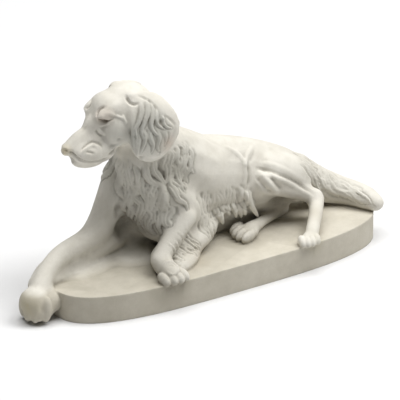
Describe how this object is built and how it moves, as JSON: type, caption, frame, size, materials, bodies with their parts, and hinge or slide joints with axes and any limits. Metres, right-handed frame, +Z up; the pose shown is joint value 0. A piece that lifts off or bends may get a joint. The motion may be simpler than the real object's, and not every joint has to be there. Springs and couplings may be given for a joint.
{
  "type": "reclining dog sculpture",
  "caption": "Reclining long-haired gun dog with raised head, cast in one piece with a long oval plinth; one forepaw hangs over the front end.",
  "frame": {"origin": "centre of the plinth's flat underside", "axes": "+X toward the dog's tail, along the plinth's length; +Y toward the dog's right side; +Z up"},
  "size_m": [0.3998, 0.1355, 0.2083],
  "materials": {
    "cream_plaster": "matt cream-white cast plaster"
  },
  "bodies": {
    "root": {"dog_on_plinth": "cream_plaster"}
  },
  "joints": []
}
